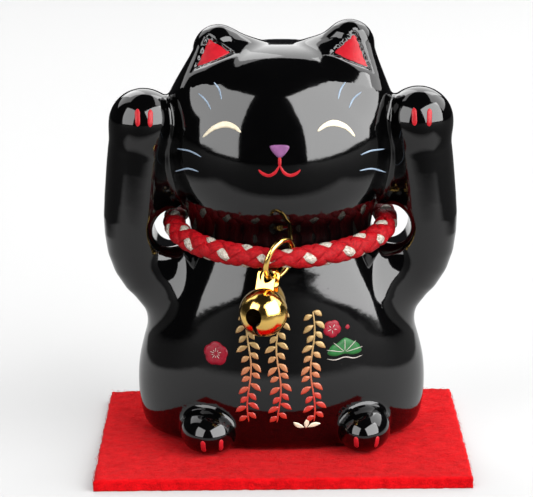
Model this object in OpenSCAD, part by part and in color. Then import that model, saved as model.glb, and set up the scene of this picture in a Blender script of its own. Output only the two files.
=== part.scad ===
// Sitting glazed-ceramic cat figurine with both paws raised, a braided cord
// collar with a jingle bell, and a felt mat. Millimetres, +Z up, the cat looks
// along -Y. The origin is the middle of the mat's underside.

/* [Felt mat] */
// mat width, side to side
mat_w = 88; // [70:1:120]
// mat depth, front to back
mat_d = 75; // [60:1:110]
// felt thickness
mat_t = 3; // [1:0.5:6]

/* [Ceramic body] */
// wall thickness of the slip-cast shell
wall = 4; // [2.5:0.5:5]
// thickness of the closed base
base_t = 4; // [3:0.5:8]
// diameter of the firing vent in the base
vent_d = 5; // [3:0.5:10]
// flat facets around the body
body_fn = 44; // [24:4:60]

/* [Collar] */
// braided cord diameter
cord_d = 5.6; // [4:0.1:8]
// flat facets around the cord
cord_fn = 10; // [8:1:12]
// length of the thread binding over the cord's joined ends
binding_l = 9; // [5:0.5:14]
// thickness of the wound thread
binding_t = 0.6; // [0.3:0.1:1]

/* [Jump ring] */
// ring diameter on the wire's centre line
ring_d = 9.6; // [8.8:0.1:11]
// wire diameter
wire_d = 1.3; // [1:0.1:2]
// gap between the ring's two ends
ring_gap = 0.15; // [0.05:0.05:0.5]

/* [Bell] */
// bell diameter
bell_d = 11.4; // [9:0.2:16]
// brass sheet thickness
sheet_t = 0.3; // [0.2:0.05:0.6]
// width of the sound slot
slot_w = 1.1; // [0.6:0.1:2]
// diameter of the round ends of the sound slot
keyhole_d = 4; // [2:0.1:6]
// pellet diameter
pellet_d = 2.8; // [1.5:0.1:4]

/* [Bell strap] */
// width of the strap
strap_w = 4.6; // [3:0.1:6]
// thickness of the strap
strap_t = 0.35; // [0.2:0.05:0.8]
// outside distance over the strap's two legs
strap_gauge = 2.6; // [2:0.1:4]
// diameter of the holes for the ring
strap_hole_d = 3.6; // [2:0.1:4]

/* [Hidden] */
$fn = 64;
red = [0.72, 0.05, 0.08];
gold = [0.85, 0.65, 0.2];
black = [0.05, 0.05, 0.055];

// head and body: [height, half width, half depth, middle depth]
stations = [
    [3, 30.6, 22, 7.5], [3.6, 32.3, 23.4, 7.4], [5.4, 33.8, 24.6, 7.2],
    [9, 34.7, 25.5, 7], [14, 35.1, 26, 6.6], [20, 34.8, 25.9, 6.1],
    [26, 33.5, 25.1, 5.5], [32, 31.6, 24, 4.8], [39, 28.8, 22.5, 3.8],
    [46, 25.2, 20.7, 2.7], [52, 22.8, 19.3, 1.9], [56, 22.2, 18.9, 1.5],
    [60, 23.2, 19.9, 0.5], [65, 25.6, 21.4, 0], [71, 27.6, 22.2, 0.2],
    [77, 28.3, 22.2, 0.7], [83, 27.7, 21.5, 1.1], [88, 25.7, 19.9, 1.3],
    [92, 22.8, 17.7, 1.5], [95, 19, 14.9, 1.5], [97.2, 14, 11.2, 1.4],
    [98.4, 8.4, 6.8, 1.5], [98.9, 2, 1.6, 1.5]];
// arm centre line: [outward, depth, height, radius]
arm_line = [
    [19, 5, 35, 5], [25, 4, 38, 6.8], [30, 2.5, 42, 7.6], [33.4, 1, 48, 7.9],
    [34.6, -0.6, 56, 7.8], [34.2, -2.2, 65, 7.6], [33.5, -3.5, 73, 7.5],
    [32.5, -4.4, 80.5, 7.4]];
paw_r = [8, 7.8, 7.8];
paw_at = [[-32.1, -4.5, 80.7], [33, -4.5, 80.7]];
ear_tip = [[-14.4, -0.5, 97.2], [16.6, -0.5, 98.2]];
ear_tip_r = [6.2, 4.2, 5.6];
ear_side = [[-9.4, 0.5, 95.8], [10.6, 0.5, 95.8]];
ear_side_r = [5.6, 4.4, 4.4];
ear_root = [[-14.4, -4, 86.4], [15.2, -4, 86.6]];
ear_root_r = [11.3, 9, 10.4];
foot_at = [[-17.4, -13.2, 7.6], [19.4, -13.2, 7.8]];
foot_r = [[7, 9.6, 6], [6.5, 9.6, 5.9]];
// fillings between each arm and the head above it and the body below it
web_at = [[27, 0, 71], [26.5, 1.5, 43]];
web_r = [[5.5, 6.5, 14], [6.5, 8, 8.5]];
// passages between each arm and the neck
passage_at = [[-26.4, 0, 54.4], [26.8, 0, 55.1]];
passage_r = [[4.1, 4.5], [4.2, 4.8]];
passage_l = 40;
vent_at = [0, 6, 0];

// collar: half width, half depth, middle depth, front height, rise to the nape
collar = [25.5, 22.5, 0.9, 51.45, 8.4];
collar_lift = 1.25;  // the cord stands off the neck where the ring passes
collar_lift_w = 6;
collar_pinch = 0.6;  // the soft cord is squeezed inside the ring
collar_pinch_w = 4;
collar_rings = 72;
collar_gap = 0.2;    // degrees between the joined ends and the nape

ring_at = [-0.43, -22.05, 51.19];
ring_turn = [0, 20.1, 0];
ring_yaw = -36.7;
ring_joint = 200;    // degrees from the ring's side to the gap between its ends
bell_at = [-4.22, -25.12, 39.21];
bell_tilt = [-23, 9.55, 0];
bell_yaw = -28.2;
bell_r = bell_d / 2;
strap_eye = 8.48;    // bell centre to the middle of the strap's holes
strap_rim = 0.4;
strap_top = strap_eye + strap_hole_d / 2 + strap_rim;
strap_bend = strap_top - strap_gauge / 2;
strap_foot = bell_r - 1.1;
strap_toe = 0.8;     // how far each foot is turned out
fit = 0.05;
keyhole_z = -2.25;   // middle of the sound slot's round ends, below the joint
lap = 0.25;          // depth of the lap below the joint
lap_fit = 0.02;
pellet_rest = -(bell_r - sheet_t - pellet_d / 2 - fit);

// Catmull-Rom spline through a list of points, t counted in points
function at(p, i) = p[max(0, min(len(p) - 1, i))];
function spline(p, t) =
    let (i = min(floor(t), len(p) - 2), u = t - i,
         a = at(p, i - 1), b = at(p, i), c = at(p, i + 1), d = at(p, i + 2))
    b + 0.5 * u * (c - a + u * (2 * a - 5 * b + 4 * c - d + u * (3 * (b - c) + d - a)));
function unit(v) = v / norm(v);

// faces of a tube of n rings of m points with flat ends
function tube_faces(n, m) = concat(
    [[for (j = [0 : m - 1]) j]],
    [for (i = [0 : n - 2], j = [0 : m - 1], s = [0, 1]) let (k = (j + 1) % m)
        s == 0 ? [i * m + j, (i + 1) * m + k, i * m + k]
               : [i * m + j, (i + 1) * m + j, (i + 1) * m + k]],
    [[for (j = [m - 1 : -1 : 0]) (n - 1) * m + j]]);

// head and body as one stack of ellipses, drawn in by an inset
module column(steps, m, inset, z0, z1) {
    n = (len(stations) - 1) * steps;
    rows = [for (i = [0 : n]) let (s = spline(stations, i / steps))
        if (s[0] >= z0 && s[0] <= z1 && s[1] > inset + 1) s];
    polyhedron(
        points = [for (s = rows, j = [0 : m - 1]) let (a = j * 360 / m)
            [(s[1] - inset) * cos(a), s[3] + (s[2] - inset) * sin(a), s[0]]],
        faces = tube_faces(len(rows), m), convexity = 4);
}

// a round tube of changing radius along points [x, y, z, r]; the first ring starts square to "side"
module limb(line, steps, m, side) {
    n = (len(line) - 1) * steps;
    c = [for (i = [0 : n]) spline(line, i / steps)];
    xyz = [for (p = c) [p[0], p[1], p[2]]];
    polyhedron(
        points = [for (i = [0 : n]) let (
                d = unit(xyz[min(i + 1, n)] - xyz[max(i - 1, 0)]),
                u = unit(cross(side, d)), v = cross(d, u))
            for (j = [0 : m - 1]) let (a = j * 360 / m)
                xyz[i] + c[i][3] * (cos(a) * u + sin(a) * v)],
        faces = tube_faces(n + 1, m), convexity = 6);
}

module egg(p, r, f) translate(p) scale(r) sphere(1, $fn = f);

module arm(k) {
    s = k == 0 ? -1 : 1;
    limb([for (p = arm_line) [s * p[0], p[1], p[2], p[3]]], 3, 22, [0, 1, 0]);
    egg(paw_at[k], paw_r, 28);
    for (w = [0, 1]) egg([s * web_at[w][0], web_at[w][1], web_at[w][2]], web_r[w], 20);
}

module ear(k) hull() {
    egg(ear_tip[k], ear_tip_r, 22);
    egg(ear_side[k], ear_side_r, 20);
    egg(ear_root[k], ear_root_r, 26);
}

module passage(k) translate(passage_at[k])
    rotate([90, 0, 0]) scale([passage_r[k][0], passage_r[k][1], 1])
        cylinder(h = passage_l, r = 1, center = true, $fn = 28);

// outside of the figure with its passages
module figure() difference() {
    union() {
        column(2, body_fn, 0, 3, 99);
        for (k = [0, 1]) {
            arm(k);
            ear(k);
            egg(foot_at[k], foot_r[k], 26);
        }
    }
    for (k = [0, 1]) passage(k);
    translate([-mat_w / 2, -mat_d / 2, -mat_t]) cube([mat_w, mat_d, 2 * mat_t]);
}

module cat_body() color(black) difference() {
    // resize with zeros keeps the size and merges the sculpted shape first
    resize([0, 0, 0]) figure();
    column(1, 28, wall, mat_t + base_t, 99 - wall);
    translate(vent_at) cylinder(h = mat_t + 2 * base_t, d = vent_d);
}

function collar_point(a) =
    let (x = collar[0] * sin(a), y = collar[2] - collar[1] * cos(a))
    [x, y - (cos(a) > 0 ? collar_lift * exp(-pow(x / collar_lift_w, 2)) : 0),
     collar[3] + collar[4] * (1 - cos(a)) / 2];

// braided cord round the neck, its two ends meeting at the nape
module collar_cord() color(red) {
    line = [for (i = [0 : collar_rings])
        let (a = 180 + collar_gap + (360 - 2 * collar_gap) * i / collar_rings,
             p = collar_point(a), t = (p[0] - ring_at[0]) / collar_pinch_w,
             pinch = p[1] < 0 ? collar_pinch * exp(-t * t) : 0)
            [p[0], p[1], p[2], cord_d / 2 - pinch]];
    limb(line, 1, cord_fn, [0, 0, 1]);
}

// thread wound over the joined ends
module cord_binding() color([0.55, 0.03, 0.05])
    translate(collar_point(180)) rotate([0, 90, 0]) difference() {
        cylinder(h = binding_l, d = cord_d + 2 * binding_t, center = true);
        cylinder(h = binding_l + 1, d = cord_d, center = true);
    }

module ring_place() translate(ring_at) rotate(ring_turn) rotate([0, 0, ring_yaw])
    rotate([0, 90, 0]) children();

// round wire bent into a ring, with its joint kept away from the strap
module jump_ring() color(gold) ring_place() difference() {
    rotate_extrude() translate([ring_d / 2, 0]) circle(d = wire_d);
    rotate([0, 0, ring_joint]) translate([0, -ring_gap / 2, -wire_d])
        cube([ring_d, ring_gap, 2 * wire_d]);
}

module bell_place() translate(bell_at) rotate(bell_tilt) rotate([0, 0, bell_yaw])
    children();

// strap folded over the ring: legs through the crown, feet turned out inside
module bell_strap() color(gold) bell_place() {
    difference() {
        intersection() {
            translate([-strap_w / 2, 0, 0]) rotate([90, 0, 90])
                linear_extrude(strap_w) difference() {
                    strap_profile(0);
                    strap_profile(strap_t);
                }
            translate([0, strap_gauge, 0]) rotate([90, 0, 0])
                linear_extrude(2 * strap_gauge) {
                    translate([0, strap_eye]) circle(d = strap_w + 2 * fit);
                    translate([-strap_w / 2, 0]) square([strap_w, strap_eye]);
                }
        }
        translate([0, 0, strap_eye]) rotate([90, 0, 0])
            cylinder(h = 2 * strap_gauge, d = strap_hole_d, center = true);
    }
    for (s = [-1, 1])
        translate([0, s * (strap_gauge + strap_toe - strap_t) / 2, strap_foot - strap_t / 2])
            cube([strap_w, strap_toe + strap_t, strap_t], center = true);
}

// folded strip seen edge on, drawn in by d
module strap_profile(d) {
    w = strap_gauge - 2 * d;
    low = strap_foot - strap_t - (d > 0 ? strap_t : 0);
    translate([-w / 2, low]) square([w, strap_bend - low]);
    translate([0, strap_bend]) circle(d = w);
}

module bell_upper() color(gold) bell_place() difference() {
    band(bell_r, bell_r - sheet_t, 0, bell_d);
    translate([-strap_w / 2 - fit, -strap_gauge / 2 - fit, 0])
        cube([strap_w + 2 * fit, strap_gauge + 2 * fit, bell_d]);
}

// part of a hollow ball between two heights
module band(ro, ri, z0, z1) intersection() {
    difference() {
        sphere(ro);
        sphere(ri);
    }
    translate([-bell_d, -bell_d, z0]) cube([2 * bell_d, 2 * bell_d, z1 - z0]);
}

// the keyholes stop just below the joint, where a lap reaches up inside the upper half
module bell_lower() color(gold) bell_place() {
    difference() {
        band(bell_r, bell_r - sheet_t, -bell_d, 0);
        translate([0, 0, keyhole_z]) rotate([90, 0, 0])
            cylinder(h = 2 * bell_d, d = keyhole_d, center = true);
        translate([-slot_w / 2, -bell_d, keyhole_z - bell_d]) cube([slot_w, 2 * bell_d, bell_d]);
    }
    band(bell_r - sheet_t / 2, bell_r - 2 * sheet_t, -lap, 0);
    band(bell_r - sheet_t - lap_fit, bell_r - 2 * sheet_t, -lap, 2 * lap);
}

module bell_pellet() color([0.6, 0.6, 0.6]) bell_place()
    translate([0, 0, pellet_rest]) sphere(d = pellet_d);

module felt_mat() color(red)
    translate([-mat_w / 2, -mat_d / 2, 0]) cube([mat_w, mat_d, mat_t]);

felt_mat();
cat_body();
collar_cord();
cord_binding();
jump_ring();
bell_strap();
bell_upper();
bell_lower();
bell_pellet();
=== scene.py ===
# %% [markdown]
# # A beckoning cat in black glaze
# A small slip-cast cat with both paws up sits on a square of red felt. It wears a braided cord
# with a jingle bell on a jump ring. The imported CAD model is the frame: this lesson builds the
# looks of each piece around it, in the same place and size.

import math

import bpy
import numpy as np
from mathutils import Matrix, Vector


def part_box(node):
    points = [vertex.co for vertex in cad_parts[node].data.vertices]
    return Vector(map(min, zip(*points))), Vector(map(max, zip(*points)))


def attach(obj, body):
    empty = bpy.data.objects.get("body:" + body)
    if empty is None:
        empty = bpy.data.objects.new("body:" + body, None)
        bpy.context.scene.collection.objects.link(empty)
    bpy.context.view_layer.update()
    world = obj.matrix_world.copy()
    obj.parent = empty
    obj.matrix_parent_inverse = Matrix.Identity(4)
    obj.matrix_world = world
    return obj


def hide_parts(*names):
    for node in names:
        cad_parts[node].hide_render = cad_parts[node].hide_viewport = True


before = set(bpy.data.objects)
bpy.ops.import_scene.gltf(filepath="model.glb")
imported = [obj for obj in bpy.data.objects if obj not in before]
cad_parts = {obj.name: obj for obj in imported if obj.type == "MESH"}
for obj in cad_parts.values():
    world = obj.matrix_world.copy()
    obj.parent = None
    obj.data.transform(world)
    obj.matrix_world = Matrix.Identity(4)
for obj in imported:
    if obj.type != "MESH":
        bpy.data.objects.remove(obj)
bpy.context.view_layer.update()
MM = 0.001

# %% [markdown]
# ## Camera
# A product shot of something this small is taken with a long lens from well back, looking down
# a little. The camera is made first, so that every piece is judged from the right place.

# %% Camera
CAMERA_AT = (-0.0034, -0.5924, 0.1833)
CAMERA_DOWN = 12.8
CAMERA_ROLL = -0.5
camera = bpy.data.cameras.new("camera")
camera.sensor_width = 36
camera.lens = 170.2
camera.clip_start = 0.01
camera_object = bpy.data.objects.new("camera", camera)
bpy.context.scene.collection.objects.link(camera_object)
camera_object.matrix_world = (
    Matrix.Translation(CAMERA_AT)
    @ Matrix.Rotation(math.radians(90 - CAMERA_DOWN), 4, "X")
    @ Matrix.Rotation(math.radians(CAMERA_ROLL), 4, "Z")
)
bpy.context.scene.camera = camera_object
bpy.context.scene.view_settings.view_transform = "Standard"

# %% [markdown]
# ## Collar route
# The braid goes once round the neck, from the nape to the nape, and rises towards the back. The
# route is the one that the CAD cord follows: an ellipse that leans, with a small lift off the
# neck in front, where the jump ring passes behind it.

# %% Collar route
COLLAR_WIDE, COLLAR_DEEP, COLLAR_MIDDLE = 25.5, 22.5, 0.9
COLLAR_FRONT, COLLAR_RISE = 51.45, 8.4
COLLAR_LIFT, COLLAR_LIFT_WIDTH = 1.25, 6
COLLAR_GAP = 0.2
CORD_D = 5.6


def collar_route(count):
    """Points of the collar's middle line in millimetres: x = 25.5 sin a, y = 0.9 - 22.5 cos a less
    a bump of 1.25 exp(-(x / 6)^2) in front, z = 51.45 + 8.4 (1 - cos a) / 2, from nape to nape."""
    a = np.radians(np.linspace(180 + COLLAR_GAP, 540 - COLLAR_GAP, count))
    x = COLLAR_WIDE * np.sin(a)
    bump = np.where(np.cos(a) > 0, COLLAR_LIFT * np.exp(-((x / COLLAR_LIFT_WIDTH) ** 2)), 0)
    y = COLLAR_MIDDLE - COLLAR_DEEP * np.cos(a) - bump
    z = COLLAR_FRONT + COLLAR_RISE * (1 - np.cos(a)) / 2
    return np.stack([x, y, z], -1)


# %% [markdown]
# ## Meshes from arrays
# Every new piece is worked out as whole numpy arrays in millimetres. One helper makes the mesh,
# one closes a stack of rings into a skin, and one gives the directions along a path.

# %% Mesh helpers


def make_mesh(name, points, faces):
    """A smooth mesh from points in millimetres and arrays of three- and four-sided faces."""
    mesh = bpy.data.meshes.new(name)
    sizes = np.concatenate([np.full(len(f), f.shape[1]) for f in faces])
    corners = np.concatenate([f.ravel() for f in faces])
    starts = np.concatenate([[0], np.cumsum(sizes)[:-1]])
    mesh.vertices.add(len(points))
    mesh.vertices.foreach_set("co", (points * MM).astype(np.float32).ravel())
    mesh.loops.add(len(corners))
    mesh.loops.foreach_set("vertex_index", corners.astype(np.int32))
    mesh.polygons.add(len(sizes))
    mesh.polygons.foreach_set("loop_start", starts.astype(np.int32))
    mesh.update(calc_edges=True)
    mesh.validate()
    mesh.shade_smooth()
    return mesh


def skin(rings):
    """Points and faces of a closed skin over rings of points: neighbours are joined by quads,
    and each end is closed by triangles to its middle. Rings turn from U to V where U x V runs
    along."""
    n, m, _ = rings.shape
    points = np.concatenate([rings.reshape(-1, 3), [rings[0].mean(0), rings[-1].mean(0)]])
    i, j = np.meshgrid(np.arange(n - 1), np.arange(m), indexing="ij")
    k = (j + 1) % m
    quads = np.stack([i * m + j, i * m + k, (i + 1) * m + k, (i + 1) * m + j], -1)
    a = np.arange(m)
    b = (a + 1) % m
    first = np.stack([np.full(m, n * m), b, a], -1)
    last = np.stack([np.full(m, n * m + 1), (n - 1) * m + a, (n - 1) * m + b], -1)
    return points, [quads.reshape(-1, 4), first, last]


def join(parts):
    """Several skins as one: points in a row, faces moved on by the points before them."""
    points, faces, start = [], [], 0
    for p, fs in parts:
        points.append(p)
        faces += [f + start for f in fs]
        start += len(p)
    return np.concatenate(points), faces


def directions(path, up):
    """Unit vectors along a path: tangent t from differences, v = t x up, and u = v x t."""
    t = unit(np.gradient(path, axis=0))
    v = unit(np.cross(t, up))
    return t, np.cross(v, t), v


def unit(v):
    """Vectors divided by their own length."""
    return v / np.maximum(np.linalg.norm(v, axis=-1, keepdims=True), 1e-9)


def spline(rows, count):
    """A smooth line through rows of numbers (Catmull-Rom), as count rows."""
    rows = np.asarray(rows, float)
    t = np.linspace(0, len(rows) - 1, count)
    i = np.minimum(t.astype(int), len(rows) - 2)
    u = (t - i)[:, None]
    a, b, c, d = (rows[np.clip(i + k, 0, len(rows) - 1)] for k in (-1, 0, 1, 2))
    return b + 0.5 * u * (c - a + u * (2 * a - 5 * b + 4 * c - d + u * (3 * (b - c) + d - a)))


def place(name, mesh, body, slot, material, *replaced):
    """Puts a finished mesh in the scene as a piece that rides on a body."""
    piece = bpy.data.objects.new(name, mesh)
    bpy.context.scene.collection.objects.link(piece)
    mesh.materials.append(material)
    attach(piece, body)
    if replaced:
        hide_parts(*replaced)
    print(name, len(mesh.polygons), "faces")
    return piece


# %% [markdown]
# ## Shader sums
# A finish is a few noises and masks fed into one glossy shader. Wrapping a socket in a small
# class lets those sums be written as plain Python, which is easier to read than a node tree.

# %% Shader helpers


class Wire:
    """One output socket of a material. Sums and products of wires add Math nodes."""

    def __init__(self, paint, socket):
        self.paint = paint
        self.socket = socket

    def math(self, operation, first, second=0.0, clamp=False):
        return self.paint.node(
            "Math", {"operation": operation, "use_clamp": clamp}, {0: first, 1: second}
        )

    def __add__(self, other):
        return self.math("ADD", self, other)

    def __sub__(self, other):
        return self.math("SUBTRACT", self, other)

    def __rsub__(self, other):
        return self.math("SUBTRACT", other, self)

    def __mul__(self, other):
        return self.math("MULTIPLY", self, other)

    __radd__ = __add__
    __rmul__ = __mul__

    def clamp(self):
        return self.math("ADD", self, 0.0, clamp=True)


class Paint:
    """A material with one glossy shader, whose other nodes all come from node()."""

    def __init__(self, name, fixed):
        self.material = bpy.data.materials.new(name)
        self.material.use_nodes = True
        self.tree = self.material.node_tree
        self.shader = self.tree.nodes["Principled BSDF"]
        self.feed(self.shader, fixed)

    def feed(self, node, values):
        for key, value in values.items():
            if isinstance(value, Wire):
                self.tree.links.new(value.socket, node.inputs[key])
            else:
                node.inputs[key].default_value = value

    def node(self, kind, settings, values, out=0):
        """Adds a node: settings first (a ramp's stops are (place, colour) pairs), then sockets."""
        node = self.tree.nodes.new("ShaderNode" + kind)
        for key, value in settings.items():
            if key == "stops":
                ramp = node.color_ramp.elements
                while len(ramp) < len(value):
                    ramp.new(0.5)
                for stop, (at, colour) in zip(ramp, value):
                    stop.position = at
                    stop.color = colour
            else:
                setattr(node, key, value)
        self.feed(node, values)
        return Wire(self, node.outputs[out])

    def place(self):
        """Object coordinates, in metres."""
        return self.node("TexCoord", {}, {}, "Object")

    def noise(self, where, scale, detail=3.0, rough=0.55):
        """Cloudy numbers from 0 to 1; scale is in clouds a metre."""
        sockets = {"Vector": where, "Scale": scale, "Detail": detail, "Roughness": rough}
        return self.node("TexNoise", {}, sockets, "Fac")

    def blend(self, mask, first, second):
        """first where the mask is 0, and second where it is 1."""
        sockets = {0: mask, 6: first, 7: second}
        return self.node("Mix", {"data_type": "RGBA"}, sockets, 2)

    def bump(self, height, distance, strength=1.0):
        """A normal tilted by a height, in metres for a height of 1."""
        sockets = {"Height": height, "Distance": distance, "Strength": strength}
        return self.node("Bump", {}, sockets)

    def show(self, values):
        """Feeds the shader's own sockets and returns the material."""
        self.feed(self.shader, values)
        return self.material


def shade(r, g, b):
    """A colour socket's value."""
    return (r, g, b, 1.0)


# %% [markdown]
# ## Stage and light
# Black glaze shows its lights as shapes, so the lights are placed by where they are seen in the
# glaze: a wide soft box to the front right, a narrower one to the front left, and three above
# and behind that edge the ears. The room in front is dark, and the table is pale.

# %% Stage and light
FLOOR_LOOK = 0.3
FLOOR_GLOW = 0.17


def stage_material():
    """Pale table: white paint that also glows a little for the camera, so that its far part
    stays as pale as its near part. In the glaze only the table near the cat is pale: it ends
    0.12 m in front and 0.17 m to each side, with soft edges."""
    paint = Paint("stage", {"Roughness": 0.9, "Base Color": shade(*[FLOOR_LOOK] * 3)})
    seen = paint.node("LightPath", {}, {}, "Is Camera Ray")
    x, y = (paint.node("SeparateXYZ", {}, {0: paint.place()}, axis) for axis in (0, 1))
    table = ((y + 0.14) * 25.0).clamp() * ((0.034 - x * x) * 80.0).clamp()
    lit = paint.blend((table + seen).clamp(), shade(0.005, 0.005, 0.005), shade(*[FLOOR_LOOK] * 3))
    return paint.show(
        {
            "Base Color": lit,
            "Emission Color": paint.blend(seen, shade(0, 0, 0), shade(*[FLOOR_GLOW] * 3)),
            "Emission Strength": 1.0,
        }
    )


def soft_box(name, azimuth, elevation, width, height, radiance, away=1.5):
    """A rectangular light seen from the cat at azimuth and elevation, in degrees, and as wide and
    high as the angles say. Power = radiance x pi x area."""
    light = bpy.data.lights.new(name, "AREA")
    light.shape = "RECTANGLE"
    light.size = 2 * away * math.tan(math.radians(width / 2))
    light.size_y = 2 * away * math.tan(math.radians(height / 2))
    light.energy = radiance * math.pi * light.size * light.size_y
    lamp = bpy.data.objects.new(name, light)
    bpy.context.scene.collection.objects.link(lamp)
    lamp.matrix_world = (
        Matrix.Translation((0, 0, 0.06))
        @ Matrix.Rotation(math.radians(azimuth), 4, "Z")
        @ Matrix.Rotation(math.radians(90 - elevation), 4, "X")
        @ Matrix.Translation((0, 0, away))
    )
    lamp.visible_camera = False
    return lamp


soft_box("box_right", 51.5, 27, 66, 54, 8.8)
soft_box("box_left", -51, 24, 40, 48, 5.5)
soft_box("box_behind", 178, 42, 60, 42, 3.4)
soft_box("box_behind_right", 118, 42, 45, 42, 3.4)
soft_box("box_behind_left", -140, 46, 45, 40, 2.2)

world = bpy.data.worlds.new("room")
bpy.context.scene.world = world
world.use_nodes = True
room = world.node_tree
ray = room.nodes.new("ShaderNodeLightPath")
room_colour = room.nodes.new("ShaderNodeMix")
room_colour.data_type = "RGBA"
room.links.new(ray.outputs["Is Camera Ray"], room_colour.inputs[0])
room_colour.inputs[6].default_value = shade(0.02, 0.02, 0.022)
room_colour.inputs[7].default_value = shade(0.905, 0.905, 0.905)
room.links.new(room_colour.outputs[2], room.nodes["Background"].inputs["Color"])

floor_corners = np.array([[-4000, -4000, 0], [4000, -4000, 0], [4000, 4000, 0], [-4000, 4000, 0]])
floor_mesh = make_mesh("stage_floor", floor_corners - [0, 0, 0.02], [np.array([[0, 1, 2, 3]])])
floor_mesh.materials.append(stage_material())
floor = bpy.data.objects.new("stage_floor", floor_mesh)
bpy.context.scene.collection.objects.link(floor)

# %% [markdown]
# ## The figure as a field of distance
# Slip-cast ceramic has no sharp edge: arms, ears and feet melt into the body. A field that gives
# the distance to the surface can melt shapes together with a smooth minimum, and the glazed skin
# is where the field is zero.

# %% Shape of the figure
STATIONS = [
    [3, 30.6, 22, 7.5], [3.6, 32.3, 23.4, 7.4], [5.4, 33.8, 24.6, 7.2],
    [9, 34.7, 25.5, 7], [14, 35.1, 26, 6.6], [20, 34.8, 25.9, 6.1],
    [26, 33.5, 25.1, 5.5], [32, 31.6, 24, 4.8], [39, 28.8, 22.5, 3.8],
    [46, 25.2, 20.7, 2.7], [52, 22.8, 19.3, 1.9], [56, 22.2, 18.9, 1.5],
    [60, 23.2, 19.9, 0.5], [65, 25.6, 21.4, 0], [71, 27.6, 22.2, 0.2],
    [77, 28.3, 22.2, 0.7], [83, 27.7, 21.5, 1.1], [88, 25.7, 19.9, 1.3],
    [92, 22.8, 17.7, 1.5], [95, 19, 14.9, 1.5], [97.2, 14, 11.2, 1.4],
    [98.4, 8.4, 6.8, 1.5], [98.9, 2, 1.6, 1.5],
]
ARM_LINE = [
    [19, 5, 35, 5], [25, 4, 38, 6.8], [30, 2.5, 42, 7.6], [33.4, 1, 48, 7.9],
    [34.6, -0.6, 56, 7.8], [34.2, -2.2, 65, 7.6], [33.5, -3.5, 73, 7.5],
    [32.5, -4.4, 80.5, 7.4],
]
EARS = [
    ([-14.4, -4, 86.4], [-14.4, -0.5, 97.2], [-9.4, 0.5, 95.8]),
    ([15.2, -4, 86.6], [16.6, -0.5, 98.2], [10.6, 0.5, 95.8]),
]
EAR_POCKETS = np.array([
    [(-16.6, 100.6), (-11.1, 97.3), (-19.6, 93.9)],
    [(17.8, 101.5), (12.4, 97.1), (21.0, 93.5)],
])
POCKET_DEEP = 0.55
profile = spline(STATIONS, 400)
profile_slope = np.gradient(profile, profile[:, 0], axis=0)
crown = profile[profile[:, 0] > 88][::-1]
crown_slope = np.gradient(crown[:, 0], crown[:, 1])
arm_path = spline(ARM_LINE, 16)


def melt(a, b, k):
    """The smaller of two distances, rounded over k where they are close."""
    h = np.maximum(k - np.abs(a - b), 0) / k
    return np.minimum(a, b) - h * h * k / 4


def cut(a, b, k):
    """The larger of two distances, rounded over k."""
    return -melt(-a, -b, k)


def egg(p, middle, radii):
    """Distance to an ellipsoid: with q = p - middle, k0 = |q / r| and k1 = |q / r^2|, it is
    k0 (k0 - 1) / k1."""
    q = p - middle
    k0 = np.linalg.norm(q / radii, axis=-1)
    k1 = np.linalg.norm(q / np.square(radii), axis=-1)
    return k0 * (k0 - 1) / np.maximum(k1, 1e-9)


def limb(p, path):
    """Distance to a chain of round cones along rows of x, y, z and radius."""
    best = np.full(len(p), 1e9)
    for a, b in zip(path[:-1], path[1:]):
        ab = b[:3] - a[:3]
        q = p - a[:3]
        t = np.clip(q @ ab / (ab @ ab), 0, 1)
        gap = np.linalg.norm(q - t[:, None] * ab, axis=1) - (a[3] + t * (b[3] - a[3]))
        best = np.minimum(best, gap)
    return best


def triangle(q, corners):
    """Distance to a flat triangle whose corners run anticlockwise or clockwise: the largest of the
    distances beyond its three sides."""
    edge = np.roll(corners, -1, axis=0) - corners
    turn = np.sign(edge[0, 0] * edge[1, 1] - edge[0, 1] * edge[1, 0])
    out = unit(np.stack([edge[:, 1], -edge[:, 0]], -1)) * turn
    return ((q[:, None] - corners) * out).sum(-1).max(1)


def trunk(p):
    """Distance to head and body, a stack of ellipses: with q = |(x / a, y / b)| it is
    (q - 1) / |gradient of q|. The crown is read as a dome instead: its height above
    s = |(x, 1.28 (y - 1.5))|, divided by the root of 1 + slope^2."""
    x, z = p[:, 0], p[:, 2]
    a, b, c = (np.interp(z, profile[:, 0], profile[:, i]) for i in (1, 2, 3))
    da, db, dc = (np.interp(z, profile[:, 0], profile_slope[:, i]) for i in (1, 2, 3))
    y = p[:, 1] - c
    q = np.maximum(np.hypot(x / a, y / b), 1e-3)
    up = x * x * da / a**3 + y * y * db / b**3 + y * dc / b**2
    slope = np.sqrt((x / a**2) ** 2 + (y / b**2) ** 2 + up**2) / q
    side = (q - 1) / np.maximum(slope, 1e-6)
    s = np.hypot(x, 1.28 * (p[:, 1] - 1.5))
    over = z - np.interp(s, crown[:, 1], crown[:, 0])
    dome = over / np.hypot(1, np.interp(s, crown[:, 1], crown_slope))
    return side + np.clip((z - 91) / 5, 0, 1) * (dome - side)


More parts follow.
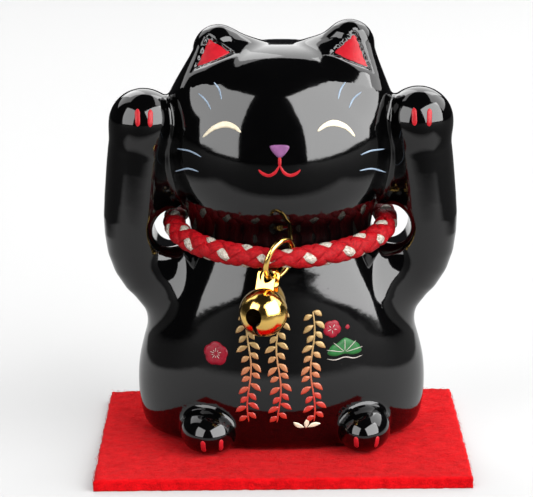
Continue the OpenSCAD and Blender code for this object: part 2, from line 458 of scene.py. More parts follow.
def figure(p):
    """Distance from points in millimetres to the outside of the ceramic cat."""
    right = (p[:, 0] > 0)[:, None]
    z = p[:, 2]
    m = np.column_stack([np.abs(p[:, 0]), p[:, 1], z])
    paw = egg(m, np.where(right, [33, -4.5, 80.7], [32.1, -4.5, 80.7]), np.array([8, 7.8, 7.8]))
    arm = melt(limb(m, arm_path), paw, 2.0)
    arm = melt(arm, egg(m, [27, 0, 71], np.array([5.5, 6.5, 14])), 3.0)
    arm = melt(arm, egg(m, [26.5, 1.5, 43], np.array([6.5, 8, 8.5])), 3.0)
    d = trunk(p)
    for root, tip, side in EARS:
        flat = np.array([1, 1.25, 1])
        cone = np.array([[*(root * flat), 11.2], [*(tip * flat), 6.0]])
        ear = melt(limb(p * flat, cone) / 1.1, egg(p, side, np.array([5.6, 4.4, 4.4])), 3.0)
        d = melt(d, ear, 3.0)
    for corners in EAR_POCKETS:
        shaft = np.maximum(triangle(p[:, [0, 2]], corners), p[:, 1])
        pocket = np.maximum(shaft, -(d + POCKET_DEEP))
        d = cut(d, -pocket, 1.1)
    d = melt(d, arm, np.interp(z, [38, 50, 58, 80], [6, 4, 1.6, 1.6]))
    foot_at = np.where(right, [19.4, -13.2, 7.8], [17.4, -13.2, 7.6])
    d = melt(d, egg(m, foot_at, np.where(right, [6.5, 9.6, 5.9], [7, 9.6, 6])), 1.4)
    gap_at = np.where(right, [26.8, 55.1], [26.4, 54.4])
    gap_r = np.where(right, [4.2, 4.8], [4.1, 4.5])
    gap = (np.linalg.norm((m[:, [0, 2]] - gap_at) / gap_r, axis=1) - 1) * 4.2
    return cut(cut(d, -gap, 1.6), 3.0 - z, 1.2)


def outward(p, reach=0.04):
    """Unit direction in which the distance grows, from four points around each point."""
    corners = np.array([[1, -1, -1], [-1, -1, 1], [-1, 1, -1], [1, 1, 1]])
    return unit(sum(corner * figure(p + reach * corner)[:, None] for corner in corners))


# %% [markdown]
# ## Skin of the glaze
# The field is read on a grid, and each grid cell that the surface passes through gets one point
# at the middle of its crossings (a surface net). The points are then pushed onto the surface,
# and each keeps the field's own direction as its normal, so that reflections run smoothly.

# %% Surface net


def surface_net(field, low, high, step):
    """Points and quads of the field's zero surface. A cell's point is the mean of the crossings
    on its twelve edges, and every grid edge with a crossing gives one quad."""
    axes = [np.arange(a, b + step, step) for a, b in zip(low, high)]
    shape = [len(a) for a in axes]
    grid = np.stack(np.meshgrid(*axes, indexing="ij"), -1).reshape(-1, 3)
    parts = np.array_split(grid, 1 + len(grid) // 60000)
    d = np.concatenate([field(part) for part in parts]).reshape(shape)
    inside = d < 0
    halves = [slice(0, -1), slice(1, None)]
    count = sum(
        inside[i, j, k].astype(int) for i in halves for j in halves for k in halves
    )
    at = np.argwhere((count > 0) & (count < 8))
    number = np.full([n - 1 for n in shape], -1)
    number[tuple(at.T)] = np.arange(len(at))
    total, crossings = np.zeros((len(at), 3)), np.zeros(len(at))
    for axis in range(3):
        for one in (0, 1):
            for two in (0, 1):
                a = np.insert([one, two], axis, 0)
                b = np.insert([one, two], axis, 1)
                da, db = d[tuple((at + a).T)], d[tuple((at + b).T)]
                hit = (da < 0) != (db < 0)
                t = np.where(hit, da / np.where(hit, da - db, 1), 0)
                total += hit[:, None] * (a + t[:, None] * (b - a))
                crossings += hit
    points = np.array(low) + step * (at + total / crossings[:, None])
    quads = []
    for axis in range(3):
        u, v = (axis + 1) % 3, (axis + 2) % 3
        inner = [slice(1, -1)] * 3
        inner[axis] = slice(0, -1)
        outer = list(inner)
        outer[axis] = slice(1, None)
        change = inside[tuple(inner)].astype(int) - inside[tuple(outer)]
        edge = np.argwhere(change != 0)
        sign = change[tuple(edge.T)]
        edge[:, [u, v]] += 1
        steps = np.zeros((4, 3), int)
        steps[[0, 3], u] = -1
        steps[[0, 1], v] = -1
        around = number[tuple(np.moveaxis(edge[:, None] + steps, -1, 0))]
        quads.append(np.where((sign > 0)[:, None], around, around[:, ::-1]))
    return points, np.concatenate(quads)


# %% Glazed body
low, high = (np.array(corner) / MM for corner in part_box("cat_body"))
NET = 0.78
skin_points, skin_quads = surface_net(figure, low - 2.3 * NET, high + 2.3 * NET, NET)
for _ in range(2):
    skin_points -= outward(skin_points) * figure(skin_points)[:, None]
print("glaze", len(skin_points), "points")

# %% [markdown]
# Black glaze is almost no colour and nearly a mirror. Its surface isn't quite flat: it has a
# faint orange peel and a few pinholes, and its gloss changes a little from place to place.

# %% Black glaze


def glaze_material():
    """Near-black gloss with orange peel and a slight change of gloss."""
    paint = Paint("black_glaze", {"IOR": 1.5})
    where = paint.place()
    peel = paint.noise(where, 420, 2.0)
    wave = paint.noise(where, 90, 1.0)
    grain = paint.noise(where, 5200, 2.0)
    speck = paint.node("TexVoronoi", {}, {"Vector": where, "Scale": 260.0}, "Distance")
    pin = (0.05 - speck).clamp() * 8.0
    cloud = paint.noise(where, 160, 4.0)
    height = wave * 0.25 + peel * 0.14 + grain * 0.006 - pin * 0.25
    return paint.show(
        {
            "Base Color": paint.blend(
                cloud, shade(0.0003, 0.0003, 0.0004), shade(0.0008, 0.0008, 0.0008)
            ),
            "Roughness": cloud * 0.05 + 0.035 + pin * 0.6,
            "Normal": paint.bump(height, 0.00006),
        }
    )


glaze = make_mesh("cat_glaze", skin_points, [skin_quads])
glaze.normals_split_custom_set_from_vertices(outward(skin_points).tolist())
place("cat_glaze", glaze, "cat", "black_glaze", glaze_material(), "cat_body")

# %% [markdown]
# ## Painted details
# The face, claws and flowers are enamel, fired on top of the glaze, so they stand a hair proud
# and are less glossy. A stroke is a low ridge along a line on the surface, and a patch is a
# shape drawn in to its middle; both land on the cat by stepping along the field from in front.

# %% Strokes and patches


def on_front(x, z):
    """Points of the glaze in front at x and z, and their outward directions: each starts at
    y = -45 and steps along +Y by its distance to the figure."""
    p = np.stack([x, np.full_like(x, -45.0), z], -1)
    for _ in range(34):
        p[:, 1] += figure(p)
    return p, outward(p)


def stroke(line, width, height=0.14, count=18, ends=0.3, sides=10):
    """A brush stroke: on the ring, across = width / 2 cos and up = height sin, and the width
    falls to its ends as the root of the distance left."""
    path = spline(line, count)
    at, out = on_front(path[:, 0], path[:, 1])
    t = unit(np.gradient(path, axis=0))
    side = np.stack([-t[:, 1], 0 * t[:, 0], t[:, 0]], -1)
    side = unit(side - out * (side * out).sum(1)[:, None])
    s = np.linspace(0, 1, count)
    wide = width / 2 * np.sqrt(np.clip(np.minimum(s, 1 - s) / ends, 0.004, 1))
    a = np.linspace(0, 2 * np.pi, sides, endpoint=False)
    up = np.where(np.sin(a) > 0, height, 0.06) * np.sin(a)
    low_ends = np.sqrt(np.clip(np.minimum(s, 1 - s) / ends, 0.03, 1))
    rings = at[:, None] + (wide[:, None] * np.cos(a))[..., None] * side[:, None]
    rings = rings + (low_ends[:, None] * up)[..., None] * out[:, None]
    return skin(rings)


def patch(outline, height=0.13, rings=5):
    """A filled shape: rings of its outline drawn to its middle, up = height (1 - r^4)^0.5 on top
    and a little under the glaze below. The outline is made to run clockwise from in front."""
    outline = np.asarray(outline, float)
    x, z = outline.T
    if (x * np.roll(z, -1) - z * np.roll(x, -1)).sum() > 0:
        outline = outline[::-1]
    middle = outline.mean(0)
    r = np.concatenate([np.linspace(0.03, 1, rings), np.linspace(1, 0.03, rings)])
    top = np.arange(2 * rings) < rings
    up = np.where(top, height * np.sqrt(1.0001 - r**4), -0.06)
    flat = (middle + r[:, None, None] * (outline - middle)).reshape(-1, 2)
    at, out = on_front(flat[:, 0], flat[:, 1])
    at = at + out * np.repeat(up, len(outline))[:, None]
    return skin(at.reshape(2 * rings, len(outline), 3))


def round_outline(corners, count=30):
    """A closed smooth outline through corner points."""
    corners = np.asarray(corners, float)
    looped = np.concatenate([corners[-2:], corners, corners[:2]])
    dense = spline(looped, (len(looped) - 1) * 16 + 1)[32 : 32 + len(corners) * 16]
    return dense[np.linspace(0, len(dense), count, endpoint=False).astype(int)]


def painted(name, parts, slot, material):
    """One piece of fired enamel from strokes and patches."""
    points, faces = join(parts)
    return place(name, make_mesh(name, points, faces), "cat", slot, material)


# %% Enamel colours


def enamel(name, colour, deep, rough=0.32, metallic=0.0):
    """Fired enamel: brushed on by hand, so it is a little deeper in places, with fine tooth."""
    paint = Paint(name, {"Metallic": metallic, "Specular IOR Level": 0.2})
    where = paint.place()
    cloud = ((paint.noise(where, 700, 3.0) - 0.35) * 2.2).clamp()
    tooth = paint.noise(where, 4200, 2.0)
    return paint.show(
        {
            "Base Color": paint.blend(cloud, shade(*colour), shade(*deep)),
            "Roughness": tooth * 0.18 + (rough - 0.09),
            "Normal": paint.bump(tooth, 0.00003),
        }
    )


lustre = enamel("gold_lustre", (0.58, 0.52, 0.4), (0.46, 0.39, 0.27), 0.3, 0.1)
sky = enamel("pale_blue_enamel", (0.2, 0.26, 0.33), (0.13, 0.17, 0.23))
mauve = enamel("mauve_enamel", (0.17, 0.065, 0.16), (0.11, 0.04, 0.11))
claret = enamel("red_enamel", (0.32, 0.009, 0.014), (0.24, 0.006, 0.01))
blush = enamel("ear_enamel", (0.31, 0.007, 0.013), (0.23, 0.004, 0.009), 0.34)
pine_green = enamel("green_enamel", (0.014, 0.1, 0.024), (0.008, 0.06, 0.014))
white = enamel("white_enamel", (0.34, 0.31, 0.28), (0.26, 0.24, 0.21))

# %% [markdown]
# ### Face
# Closed happy eyes in gold, two lashes over each, two whiskers on each cheek, a small mauve nose
# and a red mouth like a flat W.

# %% Face
EYES = [
    [(-18.0, 79.0), (-15.6, 81.2), (-13.0, 82.3), (-10.7, 81.9), (-9.1, 80.7)],
    [(8.6, 80.8), (10.5, 82.1), (12.7, 82.4), (15.4, 81.2), (17.4, 78.9)],
]
LASHES = [
    [(-19.0, 88.8), (-17.2, 87.3), (-16.0, 85.4)],
    [(-15.3, 91.4), (-14.1, 89.9), (-13.5, 87.7)],
    [(15.3, 91.2), (14.1, 89.6), (13.5, 87.6)],
    [(19.0, 88.8), (17.1, 87.4), (16.0, 85.4)],
]
WHISKERS = [
    [(-24.2, 75.4), (-21.1, 75.4), (-18.4, 74.4)],
    [(-24.8, 69.6), (-21.7, 71.1), (-19.0, 70.8)],
    [(24.5, 74.8), (21.3, 75.1), (18.7, 74.5)],
    [(25.0, 68.8), (21.6, 70.7), (18.4, 70.8)],
]
NOSE = [(-2.4, 77.7), (-0.2, 78.0), (2.0, 77.7), (1.4, 76.2), (-0.2, 75.0), (-1.7, 76.2)]
MOUTH = [
    [(-5.1, 72.3), (-4.2, 71.4), (-2.7, 70.9), (-1.2, 71.7), (-0.2, 73.4)],
    [(4.6, 72.2), (3.6, 71.3), (2.1, 70.9), (0.7, 71.7), (-0.2, 73.4)],
    [(-0.2, 75.2), (-0.2, 74.2), (-0.2, 73.0)],
]
painted("eyes", [stroke(e, 1.55, count=26, ends=0.45) for e in EYES], "gold_lustre", lustre)
painted("lashes", [stroke(e, 0.42, 0.1) for e in LASHES], "pale_enamel", sky)
painted("whiskers", [stroke(e, 0.42, 0.1) for e in WHISKERS], "pale_enamel", sky)
painted("nose", [patch(round_outline(NOSE))], "red_enamel", mauve)
painted("mouth", [stroke(e, 0.8, 0.1) for e in MOUTH], "red_enamel", claret)

# %% [markdown]
# ### Claws and ears
# Two red claws on each paw and foot, and a red lining in the shallow pocket of each ear. The
# lining is a patch on the pocket's floor, so it lies a little below the rim around it.

# %% Claws and ears
CLAWS = [
    [(-33.3, 85.0), (-33.2, 81.0)], [(-30.2, 84.8), (-30.3, 80.8)],
    [(31.3, 84.7), (31.4, 80.6)], [(35.0, 84.5), (34.8, 80.4)],
    [(-18.9, 7.4), (-18.6, 4.2)], [(-14.5, 7.5), (-14.6, 4.3)],
    [(17.3, 8.0), (17.5, 5.0)], [(22.5, 7.9), (22.1, 4.9)],
]
LINING_SIZE = 0.94


def lining_outline(corners, steps=8):
    """A triangle's outline drawn in to its middle by LINING_SIZE: eight points a side, each
    (1 - t) of one corner and t of the next."""
    t = np.tile(np.arange(steps) / steps, 3)[:, None]
    here = np.repeat(corners, steps, axis=0)
    ahead = np.repeat(np.roll(corners, -1, axis=0), steps, axis=0)
    middle = corners.mean(0)
    return middle + LINING_SIZE * (here * (1 - t) + ahead * t - middle)


painted("claws", [stroke(c, 1.25, ends=0.25) for c in CLAWS], "red_enamel", claret)
linings = [patch(lining_outline(corners), 0.12, 9) for corners in EAR_POCKETS]
painted("ear_linings", linings, "red_enamel", blush)

# %% [markdown]
# ### Flowers
# Plum blossom, pine and bamboo are old good-luck plants. Three hanging sprigs of leaves fill the
# belly, turning from gold at the top to red at the bottom.

# %% Flowers


def petals(x, z, r, count=5, turn=90, wide=0.62):
    """Round petals of radius r * wide set on a ring, which overlap in the middle."""
    a = np.radians(turn + np.arange(count) * 360 / count)
    b = np.linspace(0, 2 * np.pi, 20, endpoint=False)
    small = r * wide
    middles = np.stack([x + (r - small) * np.cos(a), z + (r - small) * np.sin(a)], -1)
    rim = small * 0.96 * np.stack([np.cos(b), np.sin(b)], -1)
    return [patch(middle + rim, 0.1 + 0.01 * i, 4) for i, middle in enumerate(middles)]


def spokes(x, z, r0, r1, count, turn, width=0.22):
    """Short straight strokes from radius r0 to r1."""
    a = np.radians(turn + np.arange(count) * 360 / count)
    ways = np.stack([np.cos(a), np.sin(a)], -1)
    middle = np.array([x, z])
    return [stroke([middle + r0 * way, middle + r1 * way], width, 0.24, 5, sides=6) for way in ways]


def leaf(x, z, turn, length, width, height=0.12, bend=0.15):
    """A pointed leaf from its foot at x, z: a stroke as wide as sin^0.8 of the way along."""
    c, s = math.cos(math.radians(turn)), math.sin(math.radians(turn))
    t = np.linspace(0, 1, 9)
    line = np.stack([x + length * (c * t - s * bend * t * (1 - t) * 2),
                     z + length * (s * t + c * bend * t * (1 - t) * 2)], -1)
    half = width / 2 * np.sin(np.pi * np.clip(t, 0.02, 0.98)) ** 0.8
    side = np.array([-s, c])
    outline = np.concatenate([line + half[:, None] * side, (line - half[:, None] * side)[::-1]])
    return patch(outline, height, 4)


plum_red = enamel("plum_enamel", (0.19, 0.004, 0.014), (0.13, 0.002, 0.009))
painted("plum_blossoms", petals(-15.6, 27.1, 3.0) + petals(11.9, 33.1, 2.2, turn=60)
        + [patch(round_outline([(15.0, 33.2), (15.6, 33.8), (16.1, 33.2), (15.6, 32.6)], 12))],
        "red_enamel", plum_red)
painted("plum_stamens", spokes(-15.6, 27.1, 0.3, 1.5, 5, 90) + spokes(-15.6, 27.1, 0.5, 1.1, 5, 54)
        + spokes(11.9, 33.1, 0.3, 1.2, 5, 60), "pale_enamel", white)
PINE = [(10.8, 27.1), (11.6, 28.9), (13.2, 29.6), (14.9, 30.7), (16.8, 29.8), (18.2, 28.9),
        (18.9, 27.1), (17.0, 26.5), (14.9, 26.9), (12.7, 26.5)]
painted("pine", [patch(round_outline(PINE, 40), 0.12, 5)], "green_enamel", pine_green)
PINE_LINES = [[(14.9, 27.3), (14.9 + 4.6 * math.cos(a), 27.1 + 3.3 * math.sin(a))]
              for a in np.radians([18, 54, 90, 126, 162])]
painted("pine_needles", [stroke(n, 0.24, 0.24, 7, sides=6) for n in PINE_LINES]
        + [stroke([(10.6, 26.0), (12.6, 25.6), (14.9, 26.1), (17.2, 25.6), (19.2, 26.1)], 0.26)],
        "pale_enamel", white)


# %% Garlands
GARLAND_LINES = [-7.8, -0.8, 7.25]
GARLAND_TOP, GARLAND_END = 37.6, 10.6


def garland_material():
    """Gold at the top of the belly, turning to vermilion below, by height."""
    paint = Paint("garland_enamel", {"IOR": 1.5})
    where = paint.place()
    z = paint.node("SeparateXYZ", {}, {0: where}, 2)
    down = ((0.0295 - z) * 80.0).clamp()
    cloud = paint.noise(where, 900, 2.0)
    gold = paint.blend(cloud, shade(0.25, 0.155, 0.055), shade(0.33, 0.22, 0.09))
    red = paint.blend(cloud, shade(0.34, 0.022, 0.011), shade(0.26, 0.013, 0.008))
    return paint.show(
        {
            "Base Color": paint.blend(down, gold, red),
            "Metallic": (1 - down) * 0.3,
            "Roughness": cloud * 0.1 + 0.3,
            "Normal": paint.bump(cloud, 0.00003),
        }
    )


def garland(x, phase):
    """A hanging sprig: a swaying stem with pairs of leaves that alternate in size."""
    z = np.linspace(GARLAND_TOP, GARLAND_END, 12)
    sway = x + 0.5 * np.sin(z / 3.1 + phase)
    parts = [stroke(np.stack([sway, z], -1), 0.42, 0.12, 60, 0.04)]
    for i in range(0, 11):
        size = 3.1 if i % 2 else 2.4
        parts.append(leaf(sway[i] + 0.1, z[i], -30 - 7 * (i % 3), size, 1.35))
        parts.append(leaf(sway[i] - 0.1, z[i] - 0.9, 210 + 7 * (i % 3), size, 1.35, bend=-0.15))
    return parts


painted("garlands", [part for i, x in enumerate(GARLAND_LINES) for part in garland(x, 1.7 * i)],
        "gold_lustre", garland_material())
BAMBOO = [(5.2, 9.2, 150, 3.0), (5.6, 9.0, 75, 2.7), (6.0, 9.2, 15, 3.2)]
bamboo_leaves = [leaf(x, z, turn, long, 1.15) for x, z, turn, long in BAMBOO]
painted("bamboo", bamboo_leaves, "gold_lustre", lustre)

# %% [markdown]
# ## Braided collar
# The cord is a round braid of eight flat strands: four wind one way and four the other, each
# going over one and under the next. Two of the first four are metallic thread, a little narrower
# than the rest, which makes the rows of pale diamonds.

# %% Braid
STRAND_PITCH = 19.4
STRAND_RADIUS, STRAND_WAVE = 1.8, 0.32
STRAND_WIDE, STRAND_THICK = 1.5, 0.66
PINCH, PINCH_AT, PINCH_WIDTH = 0.6, -0.43, 4


def strand(start, way, wide=STRAND_WIDE, lower=0.0, samples=520, sides=12):
    """One strand: at distance s along the route its angle is way * 2 pi s / pitch + start, and its
    radius 1.8 + way * 0.32 cos(4 * 2 pi s / pitch). Its section is an ellipse lying along the
    cord's skin. The jump ring pinches the cord, so all of it is drawn in there by up to 0.6."""
    path = collar_route(samples)
    t, u, v = directions(path, np.array([0, 0, 1.0]))
    s = np.concatenate([[0], np.cumsum(np.linalg.norm(np.diff(path, axis=0), axis=1))])
    turn = 2 * np.pi * s / STRAND_PITCH
    angle = way * turn + start
    pinch = PINCH * np.exp(-(((path[:, 0] - PINCH_AT) / PINCH_WIDTH) ** 2)) * (path[:, 1] < 0)
    squeeze = 1 - pinch * 2 / CORD_D
    radius = (STRAND_RADIUS - lower + way * STRAND_WAVE * np.cos(4 * turn)) * squeeze
    out = np.cos(angle)[:, None] * u + np.sin(angle)[:, None] * v
    line = path + radius[:, None] * out
    along = unit(np.gradient(line, axis=0))
    across = unit(np.cross(out, along))
    out = np.cross(along, across)
    a = np.linspace(0, 2 * np.pi, sides, endpoint=False)
    flat, thick = (wide * squeeze)[:, None, None], (STRAND_THICK * squeeze)[:, None, None]
    rings = line[:, None] - flat * np.cos(a)[None, :, None] * across[:, None]
    rings = rings - thick * np.sin(a)[None, :, None] * out[:, None]
    points, faces = skin(rings)
    uv = np.stack(np.broadcast_arrays(s[:, None], a[None] / (2 * np.pi)), -1).reshape(-1, 2)
    return points, faces, np.concatenate([uv, [[0, 0], [s[-1], 0]]])


def braid_mesh(name, strands):
    """Strands as one mesh with a UV map: u runs along in millimetres, v round the strand."""
    points, faces = join([(p, f) for p, f, _ in strands])
    mesh = make_mesh(name, points, faces)
    uv = np.concatenate([w for _, _, w in strands])
    corner = np.empty(len(mesh.loops), np.int32)
    mesh.loops.foreach_get("vertex_index", corner)
    mesh.uv_layers.new(name="weave").data.foreach_set("uv", uv[corner].astype(np.float32).ravel())
    return mesh


def thread_material(name, bright, dark, metallic, rough, sheen):
    """Satin thread: fine fibres run along the strand, with a slight twist and sparkle."""
    fixed = {"Sheen Weight": sheen, "Sheen Roughness": 0.4, "Specular IOR Level": 0.12}
    paint = Paint(name, fixed)
    uv = paint.node("UVMap", {"uv_map": "weave"}, {})
    drawn_out = {"Vector": uv, "Scale": (0.55, 26.0, 1.0), "Rotation": (0, 0, 0.02)}
    fibre_at = paint.node("Mapping", {}, drawn_out)
    fibre_look = {"Vector": fibre_at, "Scale": 3.0, "Detail": 4.0}
    fibre = paint.node("TexNoise", {"noise_dimensions": "2D"}, fibre_look, "Fac")
    slub = paint.noise(paint.place(), 900, 2.0)
    mask = ((fibre - 0.38) * 3.2).clamp()
    return paint.show(
        {
            "Base Color": paint.blend(mask, shade(*dark), shade(*bright)),
            "Metallic": metallic,
            "Roughness": slub * 0.2 + rough,
            "Normal": paint.bump(fibre * 0.8 + slub * 0.3, 0.00016),
        }
    )


quarter = math.pi / 2
red_thread = thread_material("red_braid", (0.4, 0.005, 0.009), (0.14, 0.0, 0.002), 0.0, 0.36, 0.0)
pale_thread = thread_material("metal_thread", (0.72, 0.68, 0.6), (0.14, 0.1, 0.07), 0.25, 0.3, 0.0)
red_strands = [strand(k * quarter, 1) for k in (1, 3)]
red_strands += [strand(k * quarter, -1) for k in range(4)]
pale_strands = [strand(k * quarter, 1, 1.1, 0.04) for k in (0, 2)]
red_mesh = braid_mesh("collar_braid", red_strands)
pale_mesh = braid_mesh("collar_metal_thread", pale_strands)
collar = place("collar_braid", red_mesh, "cat", "red_braid", red_thread, "collar_cord")
glint = place("collar_metal_thread", pale_mesh, "cat", "red_braid", pale_thread)

# %% [markdown]
# ## Thread binding
# Where the two ends meet at the nape they are whipped with thread: a close helix of one strand.

# %% Binding
BINDING_LONG, THREAD = 9.0, 0.31
THREAD_LONG = 300
nape = np.mean(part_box("cord_binding"), axis=0) / MM


def binding_mesh():
    """A helix round the cord: x runs along, y and z turn on a radius of half the cord plus the
    thread, one turn for each thread width."""
    turns = BINDING_LONG / (2 * THREAD) - 1
    t = np.linspace(0, 1, int(turns * 26))
    a = 2 * np.pi * turns * t
    r = CORD_D / 2 + THREAD * 0.95
    x = (t - 0.5) * (BINDING_LONG - 2 * THREAD)
    path = nape + np.stack([x, r * np.cos(a), r * np.sin(a)], -1)
    along, u, v = directions(path, np.array([1.0, 0, 0]))
    b = np.linspace(0, 2 * np.pi, 8, endpoint=False)
    c, s = np.cos(b)[:, None], np.sin(b)[:, None]
    rings = path[:, None] + THREAD * (c * u[:, None] + s * v[:, None])
    points, faces = skin(rings)
    uv = np.stack(np.broadcast_arrays(t[:, None] * THREAD_LONG, b / (2 * np.pi)), -1).reshape(-1, 2)
    uv = np.concatenate([uv, [[0, 0], [THREAD_LONG, 0]]])
    return braid_mesh("binding_thread", [(points, faces, uv)])


wound = thread_material("binding_thread", (0.26, 0.005, 0.009), (0.11, 0.0, 0.002), 0.0, 0.42, 0.0)
place("binding_thread", binding_mesh(), "cat", "red_thread", wound, "cord_binding")

# %% [markdown]
# ## Bell, ring and strap
# These are bright plated brass. Their shapes are right as the CAD has them, so they keep their
# meshes and get a metal that shows fine rub marks and a little tarnish. The inside of the bell
# is dull, and painted a near-black brown as shade, so that its sound slot looks dark.

# %% Gold metal


bell_corners = np.array([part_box("bell_upper"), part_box("bell_lower")])
bell_low, bell_high = bell_corners[:, 0].min(0), bell_corners[:, 1].max(0)
bell_middle = ((bell_low + bell_high) / 2).tolist()
bell_radius = float((bell_high - bell_low)[0] / 2)
print("bell", bell_middle, bell_radius)


def gold_material():
    """Polished plated brass: fine rub marks and faint cloudy tarnish. Inside the bell, nearer
    to its middle than its outer skin, the brass is dull, and painted a near-black brown as shade."""
    paint = Paint("gold_metal", {"Metallic": 1.0})
    where = paint.place()
    ends = {0: where, 1: bell_middle}
    from_middle = paint.node("VectorMath", {"operation": "DISTANCE"}, ends, "Value")
    # Mask of the inside of the bell: there the colour is painted shade (near-black brown) and the
    # roughness is higher.
    inside = ((bell_radius - 0.00012 - from_middle) * 20000.0).clamp()
    cloud = paint.noise(where, 260, 3.0)
    stretched = paint.node("Mapping", {}, {"Vector": where, "Scale": (1.0, 1.0, 9.0)})
    rub = paint.noise(stretched, 1500, 3.0)
    plated = paint.blend(cloud, shade(0.9, 0.6, 0.17), shade(0.78, 0.47, 0.11))
    return paint.show(
        {
            # Painted shade: inside the bell the colour turns near-black brown, so that the sound
            # slot looks dark.
            "Base Color": paint.blend(inside, plated, shade(0.06, 0.035, 0.012)),
            "Roughness": cloud * 0.08 + rub * 0.06 + 0.03 + inside * 0.4,
            "Normal": paint.bump(rub, 0.000012),
        }
    )


gold = gold_material()
steel = Paint("pellet_steel", {"Metallic": 1.0})
steel_cloud = steel.noise(steel.place(), 900)
steel_material = steel.show(
    {"Base Color": steel.blend(steel_cloud, shade(0.3, 0.29, 0.28), shade(0.45, 0.44, 0.43)),
     "Roughness": steel_cloud * 0.3 + 0.25}
)
for name in ("jump_ring", "bell_strap", "bell_upper", "bell_lower"):
    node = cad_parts[name]
    node.data.materials.clear()
    node.data.materials.append(gold)
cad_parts["bell_pellet"].data.materials.clear()
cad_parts["bell_pellet"].data.materials.append(steel_material)

# %% [markdown]
# ## Felt mat
# Felt is matted wool: its faces are soft and a little uneven, and its cut edges show loose
# fibres. The slab is one closed grid pushed about by noise, with short fibres standing on it.

# %% Felt mat
mat_low, mat_high = (np.array(corner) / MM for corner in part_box("felt_mat"))
rng = np.random.default_rng(7)


def soft_noise(x, y, size, seed):
    """A smooth random field: random numbers on a coarse grid, read with cosine steps between."""
    table = np.random.default_rng(seed).normal(size=(257, 257))
    u, v = x / size + 60, y / size + 60
    i, j = np.floor(u).astype(int), np.floor(v).astype(int)
    fu, fv = (3 - 2 * (u - i)) * (u - i) ** 2, (3 - 2 * (v - j)) * (v - j) ** 2
    i, j = i % 256, j % 256
    top = table[i, j] * (1 - fu) + table[i + 1, j] * fu
    bottom = table[i, j + 1] * (1 - fu) + table[i + 1, j + 1] * fu
    return top * (1 - fv) + bottom * fv


def mat_mesh(cells=(176, 150)):
    """A closed slab: the top and bottom are grids and share their rim with the sides. The top
    lies 0.02 to 0.6 mm low by noise, and 0.5 exp(-edge / 0.35) mm lower at the rim."""
    wide, deep, thick = mat_high - mat_low
    nx, ny = cells
    gx, gy = np.meshgrid(np.linspace(-1, 1, nx + 1), np.linspace(-1, 1, ny + 1), indexing="ij")
    x, y = gx * wide / 2, gy * deep / 2
    edge = np.minimum(wide / 2 - np.abs(x), deep / 2 - np.abs(y))
    fuzz = 0.1 * soft_noise(x, y, 2.2, 1) + 0.1 * soft_noise(x, y, 0.8, 2)
    sink = np.clip(0.28 + 0.6 * fuzz, 0.02, 0.6) + 0.5 * np.exp(-edge / 0.35)
    waver = 0.12 * soft_noise(x + y, x - y, 1.6, 3) + 0.12
    pull = np.exp(-edge / 0.5) * np.clip(waver, 0.0, 0.4)
    px = x - np.sign(x) * pull * (np.abs(gx) > 0.9)
    py = y - np.sign(y) * pull * (np.abs(gy) > 0.9)
    top = np.stack([px, py, thick - sink], -1)
    under = np.stack([px, py, 0 * x + 0.02], -1)
    i, j = np.meshgrid(np.arange(nx), np.arange(ny), indexing="ij")
    m = ny + 1
    here, ahead = i * m + j, (i + 1) * m + j
    quads = np.stack([here, ahead, ahead + 1, here + 1], -1).reshape(-1, 4)
    count = (nx + 1) * m
    rim = np.concatenate([np.arange(nx) * m, nx * m + np.arange(ny),
                          (nx - np.arange(nx)) * m + ny, ny - np.arange(ny)])
    layers = 6
    z_top = top.reshape(-1, 3)[rim]
    side_points, rows = [], [rim]
    for k in range(1, layers):
        row = z_top.copy()
        row[:, 2] = z_top[:, 2] * (1 - k / layers)
        bulge = 0.1 * soft_noise(np.arange(len(rim)) * 0.5, np.full(len(rim), 3.1 * k), 1.3, 4)
        outwards = unit(row[:, :2] * [1 / wide, 1 / deep])
        row[:, :2] += outwards * (bulge - 0.02)[:, None]
        side_points.append(row)
        rows.append(2 * count + (k - 1) * len(rim) + np.arange(len(rim)))
    rows.append(count + rim)
    sides = []
    for a, b in zip(rows[:-1], rows[1:]):
        sides.append(np.stack([b, np.roll(b, -1), np.roll(a, -1), a], -1))
    points = np.concatenate([top.reshape(-1, 3), under.reshape(-1, 3), *side_points])
    return points, [quads, (quads + count)[:, ::-1], *sides]


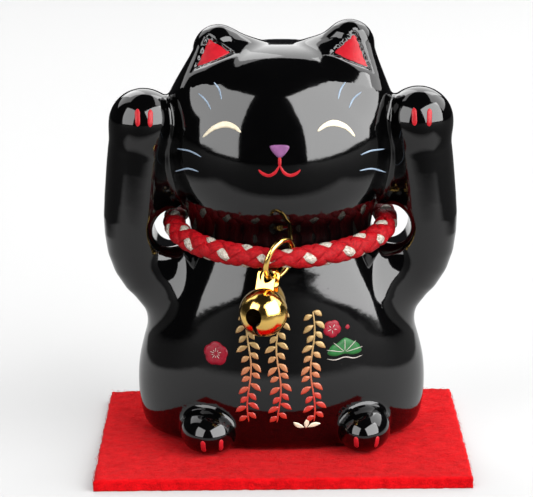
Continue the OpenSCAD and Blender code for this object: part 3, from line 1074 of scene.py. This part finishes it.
def fibre_parts(count=5200, sides=3):
    """Loose fibres: thin curved three-sided hairs that lie on the top or stick out of the rim."""
    wide, deep, thick = mat_high - mat_low
    t = np.linspace(0, 1, 5)
    x = rng.uniform(-wide / 2 + 0.3, wide / 2 - 0.3, count)
    y = rng.uniform(-deep / 2 + 0.3, deep / 2 - 0.3, count)
    z = np.full(count, thick - 0.22)
    rim = rng.random(count) < 0.3
    on_x = rng.random(count) < wide / (wide + deep)
    side = rng.choice([-1, 1], count)
    x = np.where(rim & ~on_x, side * wide / 2, x)
    y = np.where(rim & on_x, side * deep / 2, y)
    z = np.where(rim, rng.uniform(0.2, thick - 0.4, count), z)
    heading = rng.uniform(0, 2 * np.pi, count)
    reach = rng.uniform(0.6, 2.2, count)
    dx, dy = np.cos(heading) * reach, np.sin(heading) * reach
    dx = np.where(rim & ~on_x, side * np.abs(dx) * 0.22, dx)
    dy = np.where(rim & on_x, side * np.abs(dy) * 0.22, dy)
    lift = np.where(rim, rng.normal(0, 0.5, count), rng.uniform(0.1, 0.5, count))
    arch = np.sin(np.pi * t)[None] * 0.7
    line = np.stack([x[:, None] + dx[:, None] * t, y[:, None] + dy[:, None] * t,
                     z[:, None] + lift[:, None] * np.where(rim[:, None], t[None], arch)], -1)
    line[..., 0] = np.clip(line[..., 0], -wide / 2 - 0.5, wide / 2 + 0.5)
    line[..., 1] = np.clip(line[..., 1], -deep / 2 - 0.5, deep / 2 + 0.5)
    line[..., 2] = np.clip(line[..., 2], 0.05, thick + 0.3)
    a = np.linspace(0, 2 * np.pi, sides, endpoint=False)
    r = 0.028 * (1 - 0.7 * t)
    along = unit(np.gradient(line, axis=1))
    v = unit(np.cross(along, [0.02, 0.01, 1.0]))
    u = np.cross(v, along)
    c, s = np.cos(a)[:, None], np.sin(a)[:, None]
    rings = line[:, :, None] + r[:, None, None] * (c * u[:, :, None] + s * v[:, :, None])
    points = rings.reshape(-1, 3)
    i, j = np.meshgrid(np.arange(len(t) - 1), np.arange(sides), indexing="ij")
    k = (j + 1) % sides
    here, ahead = i * sides, (i + 1) * sides
    quads = np.stack([here + j, here + k, ahead + k, ahead + j], -1).reshape(-1, 4)
    ends = np.array([[2, 1, 0], np.arange(3) + (len(t) - 1) * sides])
    shift = np.arange(count)[:, None, None] * len(t) * sides
    return points, [(quads + shift).reshape(-1, 4), (ends + shift).reshape(-1, 3)]


def felt_material(name, bright, dark):
    """Wool felt: tangled fibres as stretched noise in two directions, soft and without gloss."""
    fixed = {"Sheen Weight": 0.02, "Sheen Roughness": 0.55, "Specular IOR Level": 0.02}
    paint = Paint(name, fixed)
    where = paint.place()
    one, two = (
        paint.node("Mapping", {}, {"Vector": where, "Scale": scale, "Rotation": (0, 0, turn)})
        for scale, turn in (((1.0, 5.0, 3.0), 0.6), ((5.0, 1.0, 3.0), 0.3))
    )
    fibres = paint.noise(one, 700, 4.0, 0.7) * 0.5 + paint.noise(two, 700, 4.0, 0.7) * 0.5
    clumps = paint.noise(where, 330, 3.0)
    mask = ((fibres * 0.7 + clumps * 0.3 - 0.36) * 4.0).clamp()
    return paint.show(
        {
            "Base Color": paint.blend(mask, shade(*dark), shade(*bright)),
            "Roughness": 0.95,
            "Normal": paint.bump(fibres + clumps * 0.5, 0.0005),
        }
    )


felt = felt_material("red_felt", (0.5, 0.0025, 0.005), (0.27, 0.001, 0.002))
cloth = make_mesh("felt_mat_cloth", *mat_mesh())
mat = place("felt_mat_cloth", cloth, "mat", "felt", felt, "felt_mat")
fluff = place("felt_fibres", make_mesh("felt_fibres", *fibre_parts()), "mat", "felt", felt)
